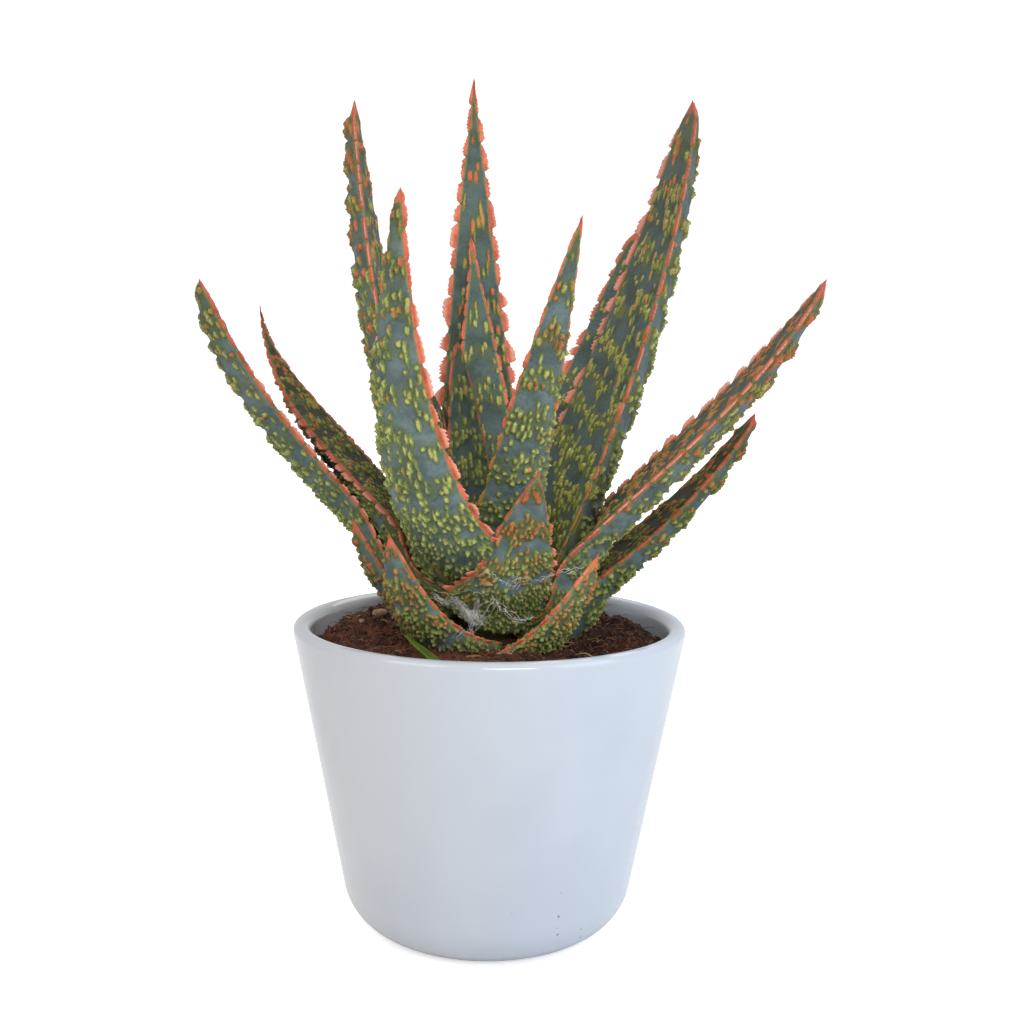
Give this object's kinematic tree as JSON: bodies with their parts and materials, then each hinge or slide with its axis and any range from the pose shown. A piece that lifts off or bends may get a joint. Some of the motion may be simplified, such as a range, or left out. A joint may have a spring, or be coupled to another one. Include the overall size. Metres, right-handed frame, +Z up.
{
  "type": "potted aloe plant",
  "caption": "Spotted aloe with upright toothed leaves in a rosette on a short stem, growing in soil in a plain white glazed round pot.",
  "frame": {"origin": "centre of the pot's flat foot, on the surface it stands on", "axes": "+Z up, +Y away from the side the picture shows, +X to the right of that view"},
  "size_m": [0.1933, 0.1725, 0.2882],
  "materials": {
    "glaze": "smooth white gloss glaze",
    "soil": "loose fibrous peat potting soil, matt",
    "stem": "old leaf sheaths, matt, dull green and brown",
    "leaf": "waxy blue-grey green with raised yellow-green to coral spots and coral toothed margins",
    "young_leaf": "smooth olive green"
  },
  "bodies": {
    "root": {"leaf_heart": "leaf", "leaf_inner_left": "leaf", "leaf_centre": "leaf", "leaf_front_right": "leaf", "leaf_front_left": "leaf", "leaf_back_tall": "leaf", "leaf_slim_right": "leaf", "leaf_upright_left": "leaf", "leaf_upright_right": "leaf", "leaf_left_back": "leaf", "leaf_front": "leaf", "leaf_far_right": "leaf", "leaf_far_left": "leaf", "leaf_back_left": "leaf", "leaf_back_right": "leaf", "leaf_low_right": "leaf", "leaf_low_front_left": "leaf", "leaf_low_front_right": "leaf", "leaf_low_left": "leaf", "leaf_low_back": "leaf", "pup_leaf": "young_leaf", "stem": "stem", "soil": "soil", "pot": "glaze"}
  },
  "joints": []
}
